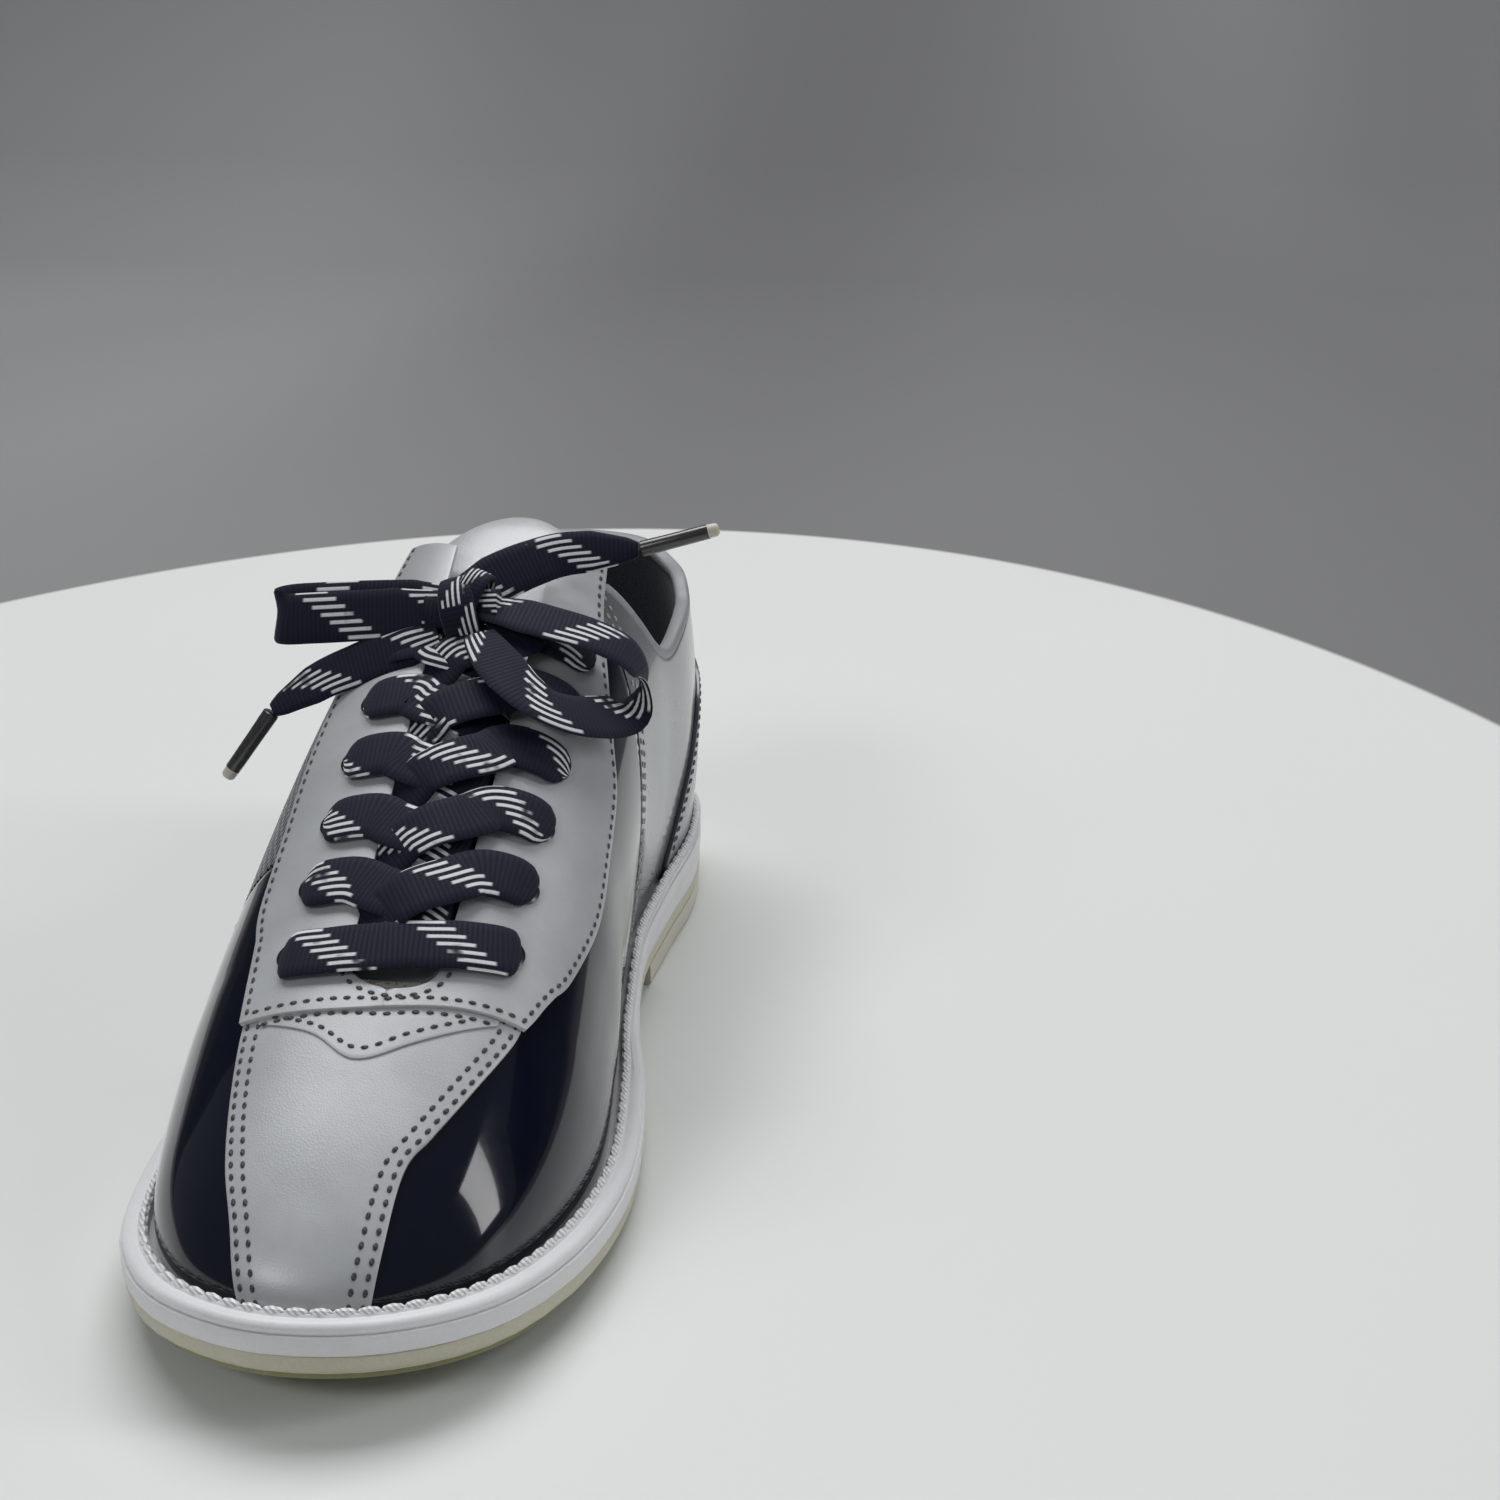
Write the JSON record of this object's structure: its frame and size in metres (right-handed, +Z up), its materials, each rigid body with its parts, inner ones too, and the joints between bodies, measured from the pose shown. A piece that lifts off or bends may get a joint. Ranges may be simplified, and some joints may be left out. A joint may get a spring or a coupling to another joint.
{
  "type": "bowling shoe",
  "caption": "Laced leather bowling shoe for the right foot, with a suede slide pad, welted sole, low heel, eyelet facing and a tied bow.",
  "frame": {"origin": "on the ground, under the middle of the sole outline", "axes": "+Y from toe to heel, +X to the medial (inner) side of this right shoe, +Z up"},
  "size_m": [0.1162, 0.29, 0.1304],
  "materials": {
    "suede_pad": "brushed suede",
    "pad_thread": "waxed thread",
    "outsole_rubber": "smooth moulded rubber",
    "midsole_white": "satin moulded rubber",
    "welt_white": "satin",
    "welt_thread": "thread",
    "shank_steel": "brushed",
    "filler_cork": "pressed cork sheet",
    "insole_fibre": "pressed fibre board",
    "footbed_fabric": "knit over foam",
    "lining_dark": "woven",
    "lining_light": "woven",
    "stiffener": "resin-soaked cloth",
    "foam": "open-cell foam",
    "navy_patent": "glossy coated leather",
    "silver_leather": "smooth satin leather",
    "quarter_silver": "glossy coated leather",
    "quarter_speckled": "punched leather",
    "counter_slate": "glossy coated leather",
    "binding_grey": "folded leather edge",
    "tongue_leather": "smooth satin leather",
    "eyelet_black": "black lacquer",
    "lace_weave": "flat woven lace with pale dashes",
    "aglet_film": "shrunk clear film over dark lace"
  },
  "bodies": {
    "root": {"slide_pad": "suede_pad", "pad_stitching": "pad_thread", "outsole": "outsole_rubber", "heel_lift": "outsole_rubber", "heel_wedge": "midsole_white", "midsole": "midsole_white", "shank": "shank_steel", "bottom_filler": "filler_cork", "welt": "welt_white", "welt_stitching": "welt_thread", "insole_board": "insole_fibre", "footbed": "footbed_fabric", "vamp_lining": "lining_light", "quarter_lining": "lining_dark", "toe_puff": "stiffener", "heel_stiffener": "stiffener", "collar_foam": "foam", "collar_binding": "binding_grey", "vamp_medial": "navy_patent", "vamp_lateral": "navy_patent", "toe_strip": "silver_leather", "throat_patch": "silver_leather", "facing": "silver_leather", "quarter_medial": "quarter_silver", "quarter_lateral": "quarter_speckled", "foxing_lateral": "navy_patent", "heel_counter": "counter_slate", "tongue": "tongue_leather", "tongue_foam": "foam", "tongue_lining": "lining_dark", "eyelets": "eyelet_black", "lace": "lace_weave", "lace_knot": "lace_weave", "lace_loop_medial": "lace_weave", "lace_loop_lateral": "lace_weave", "lace_end_medial": "lace_weave", "lace_end_lateral": "lace_weave", "aglet_medial": "aglet_film", "aglet_lateral": "aglet_film"}
  },
  "joints": []
}
